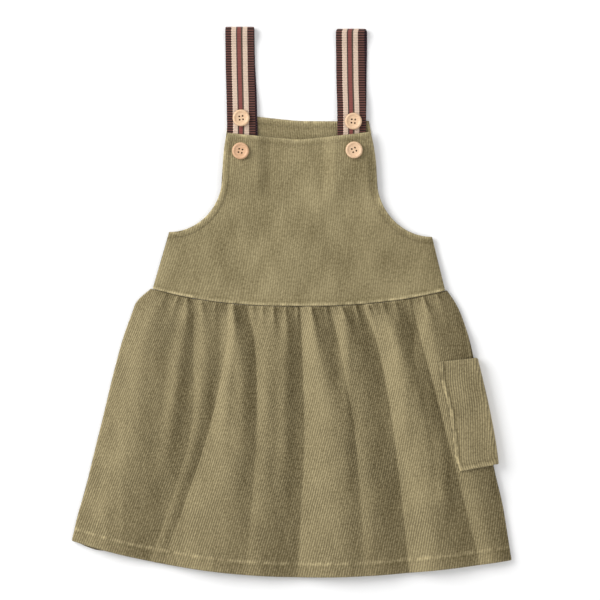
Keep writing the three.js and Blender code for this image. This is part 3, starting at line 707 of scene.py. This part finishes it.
def pocket_piece():
    across = np.concatenate([
        [0, 0.012, 0.03], np.linspace(0, 1, 96)[3:], 1 + np.linspace(0, 1, 26)[1:],
        2 + np.linspace(0, 1, 76)[1:]])
    down = spaced(66, [0.004, 0.01, 0.016])
    aa, dd = np.meshgrid(across, down, indexing="ij")
    face, out = pocket_face(aa, dd)
    steps = np.linalg.norm(np.diff(face, axis=0), axis=-1)
    girth = np.concatenate([np.zeros((1, len(down))), np.cumsum(steps, axis=0)])
    height = 97 * dd
    wales = (girth + 0.13 * height) / WALE_PITCH
    to_rim = np.minimum(girth, girth[-1] - girth)
    to_top, to_bottom = height, 97 - height
    body = rounded(to_rim, 1.2) * rounded(to_top, 1.2) * rounded(to_bottom, 1.2)
    thick = CLOTH * mix(0.45, 1.0, body) + wale_height(wales, WALE_DEPTH * 0.8) * body
    on_front = 1 - smooth(0.9, 1.3, aa)
    rim = np.minimum(to_rim + 0.5 * ripple(0 * aa, height, 9, 31), to_bottom)
    thick += on_front * body * (0.45 * (1 - smooth(2.6, 4.4, rim)) - 0.45 * bell(rim - 4.4, 0.9))
    thick += on_front * turned_edge(to_top, 9, 0.3) * body * 0.7
    light_unevenness = ripple(girth, height, 6, 64)
    # Random tone, lighter overall; on the front, a painted highlight along the turned rim and painted shade
    # in a line at its stitching.
    tone_and_painted_light = 0.30 * ripple(girth, height, 30, 41) + 0.35
    tone_and_painted_light += on_front * (0.95 * (1 - smooth(2.2, 3.6, rim)) * (0.7 + 0.7 * light_unevenness) - 0.5 * bell(rim - 4.6, 0.9))
    shape = face + out * thick[..., None]
    ai, di = np.meshgrid(across, np.linspace(0, 1, 12), indexing="ij")
    inner, inner_out = pocket_face(ai, di)
    inner = inner + inner_out * 0.05
    piece = shell("side_pocket_cloth", shape, inner, np.stack([wales, height / 2.0], -1),
                  tone_and_painted_light)
    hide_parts("side_pocket")
    return piece


# ---------------- straps

LYING = WEB_THICK / 2
INSIDE_BACK = CLOTH + SEAM_GAP + LYING
STACKED = WEB_THICK + SEAM_GAP
RIB_PITCH = 2.2
STRAP_SEEDS = {"left": 51, "right": 52}


def back_run_z(y):
    return mix(INSIDE_BACK, LYING, smooth(*STRAP_RUN["step"], y))


def front_run_z(y):
    return back_run_z(y) + STACKED * smooth(*STRAP_RUN["over_end"], y)


def strap_path(strap):
    """The strap's middle line as (x, y, z) points about every half millimetre, with lengths."""
    radius = STRAP_RUN["loop_radius"]
    shoulder = strap["top"] - radius - LYING
    y_back = np.linspace(STRAP_RUN["back_end"], shoulder, 60)
    y_front = np.linspace(shoulder, STRAP_RUN["front_end"], 90)
    angle = np.linspace(0, math.pi, 14)[1:-1]

    def x_on(run, y):
        return mix(run[1], run[0], smooth(STRAP_RUN["back_end"], shoulder, y))
    open_loop = (2 * radius - STACKED) * smooth(shoulder - STRAP_RUN["loop_length"], shoulder, y_front)
    pieces = [
        np.stack([x_on(strap["back"], y_back), y_back, back_run_z(y_back)], -1),
        np.stack([mix(strap["back"][0], strap["front"][0], angle / math.pi),
                  shoulder + radius * np.sin(angle), LYING + radius * (1 - np.cos(angle))], -1),
        np.stack([x_on(strap["front"], y_front), y_front, front_run_z(y_front) + open_loop], -1),
    ]
    path = np.concatenate(pieces)
    along = np.concatenate([[0], np.cumsum(np.linalg.norm(np.diff(path, axis=0), axis=1))])
    even = np.arange(0, along[-1], RIB_PITCH / 4)
    return np.stack([np.interp(even, along, path[:, k]) for k in range(3)], -1), even


def strap_piece(side):
    """One strap, and its length. Its face is on the outer side of the loop over the shoulder."""
    path, along = strap_path(STRAPS[side])
    tangent = np.gradient(path, axis=0)
    normal = np.stack([0 * along, -tangent[:, 2], tangent[:, 1]], -1)
    normal /= np.linalg.norm(normal, axis=1)[:, None]
    lips = np.array([0, 0.25, 0.6])
    across = np.unique(np.concatenate([lips, np.linspace(1.0, 24.0, 24), WEB_WIDTH - lips]))
    s, w = np.meshgrid(along, across, indexing="ij")
    lip = rounded(np.minimum(w, WEB_WIDTH - w), 0.6)
    ribbed = 1 - smooth(4.6, 5.4, w) + smooth(19.0, 19.8, w)
    rib = 0.34 * (np.abs(np.cos(math.pi * s / RIB_PITCH)) - 1) * ribbed
    fine = 0.05 * (np.cos(math.tau * w) - 1) * (1 - ribbed)
    half = LYING * mix(0.35, 1.0, lip)
    face = half + (rib + fine) * lip
    back = half + 0.10 * np.cos(math.pi * s / RIB_PITCH) * lip
    bow = 0.12 * ripple(s, 0 * s, 40, STRAP_SEEDS[side])
    x = path[:, None, 0] + (w - WEB_WIDTH / 2) + bow
    middle = np.stack([x, path[:, None, 1] + 0 * x, path[:, None, 2] + 0 * x], -1)
    points = np.concatenate([(middle - normal[:, None] * face[..., None]).reshape(-1, 3),
                             (middle + normal[:, None] * back[..., None]).reshape(-1, 3)])
    columns, rows = s.shape
    count = columns * rows
    ids = np.arange(count).reshape(columns, rows)
    faces = [grid_faces(columns - 1, rows - 1), grid_faces(columns - 1, rows - 1, count)[:, ::-1]]
    for line, flip in ((ids[:, 0], True), (ids[:, -1], False), (ids[0], False), (ids[-1], True)):
        faces.append(rim_faces(line, line + count, flip))
    uv = np.stack([w / WEB_WIDTH, s], -1).reshape(-1, 2)
    on_back = np.concatenate([np.zeros(count), np.ones(count)])
    faces = facing_out(points, np.concatenate(faces))
    piece = new_object(f"strap_{side}_webbing", to_world(points), faces, np.concatenate([uv, uv]), on_back)
    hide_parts(f"strap_{side}")
    return piece, float(along[-1])


# ---------------- materials


class Paint:
    """A new material, with short ways to add nodes to it."""

    def __init__(self, name, roughness, specular=0.5):
        self.material = bpy.data.materials.new(name)
        self.material.use_nodes = True
        self.tree = self.material.node_tree
        self.shader = self.tree.nodes["Principled BSDF"]
        self.shader.inputs["Roughness"].default_value = roughness
        self.shader.inputs["Specular IOR Level"].default_value = specular
        self.place = self.node("ShaderNodeTexCoord").outputs["Object"]

    def node(self, kind, **values):
        made = self.tree.nodes.new(kind)
        for name, value in values.items():
            setattr(made, name, value)
        return made

    def feed(self, socket, value):
        """Links a socket to another one, or sets it to a color or a number."""
        if isinstance(value, bpy.types.NodeSocket):
            self.tree.links.new(value, socket)
        elif isinstance(value, tuple):
            socket.default_value = (*value, 1)
        else:
            socket.default_value = value

    def math(self, operation, *values):
        made = self.node("ShaderNodeMath", operation=operation)
        for socket, value in zip(made.inputs, values, strict=False):
            self.feed(socket, value)
        return made.outputs[0]

    def noise(self, vector, scale, detail=2.0, roughness=0.5, distortion=0.0):
        made = self.node("ShaderNodeTexNoise")
        names = ("Vector", "Scale", "Detail", "Roughness", "Distortion")
        for name, value in zip(names, (vector, scale, detail, roughness, distortion), strict=True):
            self.feed(made.inputs[name], value)
        return made.outputs[0]

    def stretched(self, scale):
        """The object's own coordinates, scaled by a different amount each way."""
        made = self.node("ShaderNodeMapping")
        made.inputs["Scale"].default_value = scale
        self.feed(made.inputs[0], self.place)
        return made.outputs[0]

    def wale_map(self):
        """The wale map, and its two coordinates apart."""
        whole = self.node("ShaderNodeUVMap", uv_map="wale").outputs[0]
        split = self.node("ShaderNodeSeparateXYZ")
        self.feed(split.inputs[0], whole)
        return whole, split.outputs[0], split.outputs[1]

    # Each piece's per-point value: random tone with painted light and shade on the cloth, and the back face
    # on the straps.
    def tone_and_painted_light(self):
        return self.node("ShaderNodeAttribute", attribute_name="tone_and_painted_light").outputs["Fac"]

    def ramp(self, fac, stops, interpolation="LINEAR"):
        made = self.node("ShaderNodeValToRGB")
        made.color_ramp.interpolation = interpolation
        while len(made.color_ramp.elements) < len(stops):
            made.color_ramp.elements.new(0.5)
        for element, (place, color) in zip(made.color_ramp.elements, stops, strict=True):
            element.position = place
            element.color = (*color, 1)
        self.feed(made.inputs[0], fac)
        return made.outputs[0]

    def blend(self, mode, fac, first, second):
        made = self.node("ShaderNodeMix", data_type="RGBA", blend_type=mode)
        for socket, value in zip((0, 6, 7), (fac, first, second), strict=True):
            self.feed(made.inputs[socket], value)
        return made.outputs[2]

    def shaded(self, color, amount):
        """A color made darker or lighter by an amount."""
        gray = self.node("ShaderNodeCombineXYZ")
        for socket in gray.inputs:
            self.feed(socket, amount)
        return self.blend("MULTIPLY", 1.0, color, gray.outputs[0])

    def finish(self, color, height=None, strength=0.0, distance=0.0):
        """Joins the color, and a bump if there is one, to the shader."""
        self.feed(self.shader.inputs["Base Color"], color)
        if height is not None:
            bump = self.node("ShaderNodeBump")
            bump.inputs["Strength"].default_value = strength
            bump.inputs["Distance"].default_value = distance
            self.feed(bump.inputs["Height"], height)
            self.feed(self.shader.inputs["Normal"], bump.outputs[0])
        return self.material


def corduroy(name, deep, pile, groove_shade):
    """Corduroy: pile in wales with painted shade in their grooves, a mottled nap with painted light and
    shade, short fibres and a soft sheen.
    """
    paint = Paint(name, 0.85, 0.12)
    paint.shader.inputs["Sheen Weight"].default_value = 0.35
    paint.shader.inputs["Sheen Roughness"].default_value = 0.45
    paint.shader.inputs["Sheen Tint"].default_value = (0.80, 0.72, 0.52, 1)
    wales, across, _ = paint.wale_map()
    phase = paint.math("MULTIPLY_ADD", paint.noise(wales, 0.12), 0.8, across)
    wave = paint.math("COSINE", paint.math("MULTIPLY", phase, math.tau))
    ridge = paint.math("MULTIPLY_ADD", wave, 0.5, 0.5)
    # Pile mottling drawn out along the wales, short fibres, and breaks where the pile parts.
    mottle = paint.noise(paint.stretched((95, 34, 60)), 1.0, 5.0, 0.62)
    fibres = paint.noise(paint.place, 1500.0, 3.0, 0.7)
    breaks = paint.noise(wales, 1.0)
    tone_and_painted_light = paint.tone_and_painted_light()
    # Below the painted highlight's threshold the value sets the tone: random tone and painted light and
    # shade together.
    tone = paint.math("MULTIPLY_ADD", paint.math("MINIMUM", tone_and_painted_light, PAINTED_HIGHLIGHT_START), 0.29,
                      paint.math("MULTIPLY_ADD", mottle, 0.44, 0.28))
    fine = paint.math("MULTIPLY_ADD", fibres, 0.75, -0.375)
    broken = paint.math("MULTIPLY_ADD", breaks, 0.8, -0.4)
    tone = paint.math("ADD", tone, paint.math("ADD", fine, broken))
    color = paint.ramp(tone, [(0.12, deep), (0.85, pile)])
    # The nap is brushed flatter in some places, where the wales show less: the painted shade in their
    # grooves is weaker there.
    brushed = paint.noise(paint.place, 42.0, 3.0)
    clear = paint.math("MULTIPLY_ADD", brushed, groove_shade, groove_shade / 2)
    # Painted shade in the grooves between the wales.
    valley = paint.math("MULTIPLY", paint.math("SUBTRACT", 1.0, ridge), clear)
    # Painted highlight: the value past the threshold lightens the colour beyond the pile's own.
    painted_highlight = paint.math("MAXIMUM", paint.math("SUBTRACT", tone_and_painted_light, PAINTED_HIGHLIGHT_START), 0.0)
    lit = paint.math("MULTIPLY_ADD", painted_highlight, 0.4, paint.math("SUBTRACT", 1.0, valley))
    height = paint.math("ADD", paint.math("MULTIPLY", ridge, 0.7), paint.math("MULTIPLY", fibres, 0.5))
    return paint.finish(paint.shaded(color, lit), height, 0.8, 0.0005)


def webbing():
    """Striped webbing on its face, and plain dark on its back, with painted light and shade on its ribs."""
    paint = Paint("striped_webbing", 0.7, 0.25)
    paint.shader.inputs["Sheen Weight"].default_value = 0.15
    _, across, along = paint.wale_map()
    brown, cream, rust = (0.074, 0.027, 0.020), (0.64, 0.49, 0.38), (0.225, 0.062, 0.052)
    line, olive_line = (0.055, 0.032, 0.026), (0.075, 0.050, 0.034)
    face = paint.ramp(across, [
        (0.0, brown), (0.208, cream), (0.376, line), (0.418, rust), (0.545, olive_line),
        (0.604, cream), (0.768, brown)], "CONSTANT")
    weave = paint.noise(paint.place, 900.0)
    ribs = paint.math("COSINE", paint.math("MULTIPLY", along, math.tau / RIB_PITCH))
    # Painted highlights on the rib crests and painted shade between them, strong in the dark bands along
    # both edges and faint in the middle.
    from_middle = paint.math("ABSOLUTE", paint.math("SUBTRACT", across, 0.5))
    depth = paint.math("ADD", paint.math("GREATER_THAN", from_middle, 0.28), 0.10)
    lit = paint.math("ADD", paint.math("MULTIPLY", ribs, depth), paint.math("MULTIPLY", weave, 0.6))
    lit = paint.math("MAXIMUM", paint.math("ADD", lit, 0.62), 0.12)
    color = paint.blend("MIX", paint.tone_and_painted_light(), face, (0.035, 0.014, 0.022))
    return paint.finish(paint.shaded(color, lit), paint.math("ADD", ribs, weave), 0.5, 0.0002)


def wood(name, light, dark):
    paint = Paint(name, 0.48, 0.35)
    grain = paint.noise(paint.stretched((260, 1700, 900)), 1.0, 4.0, distortion=0.6)
    return paint.finish(paint.ramp(grain, [(0.25, dark), (0.68, light)]), grain, 0.25, 0.0001)


def thread(name, color):
    paint = Paint(name, 0.6)
    darker = tuple(c * 0.6 for c in color)
    return paint.finish(paint.ramp(paint.noise(paint.place, 2500.0), [(0.3, darker), (0.7, color)]))


# ---------------- buttons and stitches

BUTTON_RADIUS = 7.4
BUTTON_THICK = 3.2
HOLE_RADIUS = 0.8
HOLE_SPACING = 3.0


def button_piece(name):
    """A turned button: raised rim, dished middle, four holes cut right through."""
    x, y, turn = BUTTONS[name]
    low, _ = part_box(name)
    r, t = BUTTON_RADIUS, BUTTON_THICK
    profile = [(0, 0), (r - 1.8, 0), (r - 1.0, 0.12), (r - 0.4, 0.5), (r, 1.2), (r, 1.9),
               (r - 0.2, 2.5), (r - 0.6, 2.95), (r - 1.1, t), (r - 1.6, t - 0.08), (r - 2.1, t - 0.4),
               (r - 2.6, t - 0.8), (r - 3.2, t - 0.98), (0, t - 1.05)]
    steps = 72
    points, faces = [], []
    for radius, z in profile[1:-1]:
        for k in range(steps):
            angle = math.tau * k / steps
            points.append((radius * math.cos(angle), radius * math.sin(angle), z))
    rings = len(profile) - 2
    for ring in range(rings - 1):
        for k in range(steps):
            a, b = ring * steps + k, ring * steps + (k + 1) % steps
            faces.append((a, b, b + steps, a + steps))
    bottom, top = len(points), len(points) + 1
    points += [(0, 0, profile[0][1]), (0, 0, profile[-1][1])]
    for k in range(steps):
        faces.append((bottom, (k + 1) % steps, k))
        faces.append((top, (rings - 1) * steps + k, (rings - 1) * steps + (k + 1) % steps))
    angle = math.radians(turn)
    spin = np.array([[math.cos(angle), -math.sin(angle)], [math.sin(angle), math.cos(angle)]])

    def placed(local):
        local = np.array(local, float)
        local[:, :2] = local[:, :2] @ spin.T
        world = to_world(local + (x, y, 0))
        world[:, 2] = low[2] + local[:, 2] * MM
        return world
    mesh = bpy.data.meshes.new(name + "_turned")
    mesh.from_pydata(placed(points).tolist(), [], faces)
    mesh.update()
    piece = bpy.data.objects.new(name + "_turned", mesh)
    bpy.context.scene.collection.objects.link(piece)
    drill_points, drill_faces = [], []
    for sx in (-1, 1):
        for sy in (-1, 1):
            start = len(drill_points)
            ring = [(sx * HOLE_SPACING / 2 + HOLE_RADIUS * math.cos(math.tau * k / 20),
                     sy * HOLE_SPACING / 2 + HOLE_RADIUS * math.sin(math.tau * k / 20)) for k in range(20)]
            drill_points += [(px, py, -1) for px, py in ring] + [(px, py, t + 1) for px, py in ring]
            drill_faces += [(start + k, start + (k + 1) % 20, start + 20 + (k + 1) % 20, start + 20 + k)
                            for k in range(20)]
            drill_faces += [tuple(start + k for k in reversed(range(20))),
                            tuple(start + 20 + k for k in range(20))]
    drill_mesh = bpy.data.meshes.new("drill")
    drill_mesh.from_pydata(placed(drill_points).tolist(), [], drill_faces)
    drill = bpy.data.objects.new("drill", drill_mesh)
    bpy.context.scene.collection.objects.link(drill)
    cut = piece.modifiers.new("holes", "BOOLEAN")
    cut.operation, cut.solver, cut.object = "DIFFERENCE", "EXACT", drill
    bevel = piece.modifiers.new("soft", "BEVEL")
    bevel.width, bevel.segments, bevel.limit_method = 0.00012, 2, "ANGLE"
    bevel.angle_limit = math.radians(50)
    apply_modifiers(piece)
    bpy.data.objects.remove(drill)
    for polygon in piece.data.polygons:
        polygon.use_smooth = True
    piece.data.set_sharp_from_angle(angle=math.radians(40))
    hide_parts(name)
    return piece


def apply_modifiers(piece):
    depsgraph = bpy.context.evaluated_depsgraph_get()
    baked = bpy.data.meshes.new_from_object(piece.evaluated_get(depsgraph))
    piece.modifiers.clear()
    piece.data = baked


STITCH_LENGTH = 2.4
STITCH_GAP = 0.9
STITCH_RADIUS = 0.24
STITCH_SIDES = 6


def stitches(name, line):
    """A row of stitches as one mesh of small spindles along a line of (x, y, z) points."""
    points, faces = [], []
    along = np.concatenate([[0], np.cumsum(np.linalg.norm(np.diff(line, axis=0), axis=1))])
    for k in range(int(along[-1] / (STITCH_LENGTH + STITCH_GAP))):
        middle = (k + 0.5) * (STITCH_LENGTH + STITCH_GAP)
        ends = middle + np.array([-0.5, -0.3, 0.3, 0.5]) * STITCH_LENGTH
        spine = np.stack([np.interp(ends, along, line[:, c]) for c in range(3)], -1)
        spine[[0, 3], 2] -= STITCH_RADIUS * 1.1
        ahead = spine[-1] - spine[0]
        ahead /= np.linalg.norm(ahead)
        across = np.cross(ahead, (0, 0, 1))
        across /= np.linalg.norm(across)
        above = np.cross(across, ahead)
        start = len(points)
        for place, thick in zip(spine, (0.35, 1.0, 1.0, 0.35), strict=True):
            for side in range(STITCH_SIDES):
                angle = math.tau * side / STITCH_SIDES
                offset = across * math.cos(angle) + above * math.sin(angle) * 0.8
                points.append(place + offset * STITCH_RADIUS * thick)
        for ring in range(3):
            for side in range(STITCH_SIDES):
                a = start + ring * STITCH_SIDES + side
                b = start + ring * STITCH_SIDES + (side + 1) % STITCH_SIDES
                faces.append((a, b, b + STITCH_SIDES))
                faces.append((a, b + STITCH_SIDES, a + STITCH_SIDES))
        for ring, order in ((0, -1), (3, 1)):
            ids = [start + ring * STITCH_SIDES + side for side in range(STITCH_SIDES)][::order]
            faces += [(ids[0], ids[m], ids[m + 1]) for m in range(1, STITCH_SIDES - 1)]
    return new_object(name, to_world(points), np.array(faces))


# ---------------- build the dress

olive = corduroy("olive_corduroy", (0.108, 0.081, 0.033), (0.445, 0.367, 0.202), 0.48)
olive_bib = corduroy("olive_corduroy_bib", (0.138, 0.108, 0.048), (0.400, 0.333, 0.184), 0.17)
ribbon = webbing()
beech = wood("pale_beech", (0.78, 0.55, 0.36), (0.62, 0.40, 0.235))
tan_beech = wood("tan_beech", (0.70, 0.44, 0.27), (0.54, 0.31, 0.17))
cotton = thread("olive_thread", (0.27, 0.215, 0.115))

pieces = {
    "front_skirt": front_skirt_piece(),
    "back_skirt": back_skirt_piece(),
    "front_bodice": front_bodice_piece(),
    "back_bodice": back_bodice_piece(),
    "side_pocket": pocket_piece(),
}
for key, piece in pieces.items():
    piece.data.materials.append(olive_bib if "bodice" in key else olive)
    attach(piece, "root")

for side in STRAPS:
    piece, strap_length = strap_piece(side)
    piece.data.materials.append(ribbon)
    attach(piece, "root")

for name in BUTTONS:
    piece = button_piece(name)
    piece.data.materials.append(tan_beech if name == "bib_button_left" else beech)
    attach(piece, "root")


def hem_line():
    """The topstitching above the hem."""
    u = np.linspace(0.01, 0.99, 240)
    x = mix(SKIRT_LEFT[-1], SKIRT_RIGHT[-1], u)
    y = hem_y(x) + HEM_TURN
    x = x * 0.985
    down = down_at(x, y)
    z = front_skirt_base(x, y, down) + CLOTH - 0.1
    return np.stack([x, y, z], -1)


def edge_line(panel, height):
    """The topstitching inside a bodice panel's top edge."""
    u = np.concatenate([np.linspace(0.012, 0.29, 90), np.linspace(0.31, 0.69, 120),
                        np.linspace(0.71, 0.988, 90)])
    x, y = bodice_top(panel, u)
    tangent = np.stack([np.gradient(x), np.gradient(y)], -1)
    tangent /= np.linalg.norm(tangent, axis=1)[:, None]
    x, y = x + tangent[:, 1] * EDGE_TURN, y - tangent[:, 0] * EDGE_TURN
    inside = distance_to(top_line(panel), x, y) > EDGE_TURN - 0.4
    x, y = x[inside], y[inside]
    return np.stack([x, y, height(x, y)], -1)


seams = {
    "hem_stitches": hem_line(),
    "bib_stitches": edge_line(FRONT_BODICE, lambda x, y: front_bodice_base(x, y) + CLOTH - 0.05),
    "back_neck_stitches": edge_line(BACK_BODICE, lambda x, y: CLOTH + 0 * x - 0.05),
}
for name, line in seams.items():
    piece = stitches(name, line)
    piece.data.materials.append(cotton)
    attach(piece, "root")

# ---------------- floor, light and camera

FLOOR_SIZE = 6.0
FRAME_WIDTH = 0.5262
CAMERA_HEIGHT = 3.2
CAMERA_SHIFT = (0.0073, 0.0017)

floor_mesh = bpy.data.meshes.new("floor")
half_floor = FLOOR_SIZE / 2
floor_mesh.from_pydata([(-half_floor, -half_floor, -0.0002), (half_floor, -half_floor, -0.0002),
                        (half_floor, half_floor, -0.0002), (-half_floor, half_floor, -0.0002)],
                       [], [(0, 1, 2, 3)])
floor = bpy.data.objects.new("floor", floor_mesh)
bpy.context.scene.collection.objects.link(floor)
floor_mesh.materials.append(Paint("white_floor", 0.9).finish((0.97, 0.97, 0.97)))

world = bpy.data.worlds.new("studio")
world.use_nodes = True
world.node_tree.nodes["Background"].inputs[0].default_value = (1.0, 1.0, 1.0, 1)
world.node_tree.nodes["Background"].inputs[1].default_value = 0.58
bpy.context.scene.world = world


def area_light(name, place, target, size, power):
    light = bpy.data.lights.new(name, "AREA")
    light.shape, light.size, light.energy = "DISK", size, power
    thing = bpy.data.objects.new(name, light)
    thing.location = place
    thing.rotation_euler = (Vector(target) - Vector(place)).to_track_quat("-Z", "Y").to_euler()
    bpy.context.scene.collection.objects.link(thing)


area_light("key", (-1.6, 0.78, 1.1), (0, 0, 0), 1.7, 46)
area_light("fill", (1.3, -0.4, 1.6), (0, 0, 0), 1.4, 9)

camera_data = bpy.data.cameras.new("camera")
camera_data.lens = camera_data.sensor_width * CAMERA_HEIGHT / FRAME_WIDTH
camera = bpy.data.objects.new("camera", camera_data)
middle = [(a + b) / 2 for a, b in zip(cad_low, cad_high, strict=True)]
camera.location = (middle[0] + CAMERA_SHIFT[0], middle[1] + CAMERA_SHIFT[1], CAMERA_HEIGHT)
bpy.context.scene.collection.objects.link(camera)
bpy.context.scene.camera = camera
bpy.context.scene.view_settings.view_transform = "Standard"
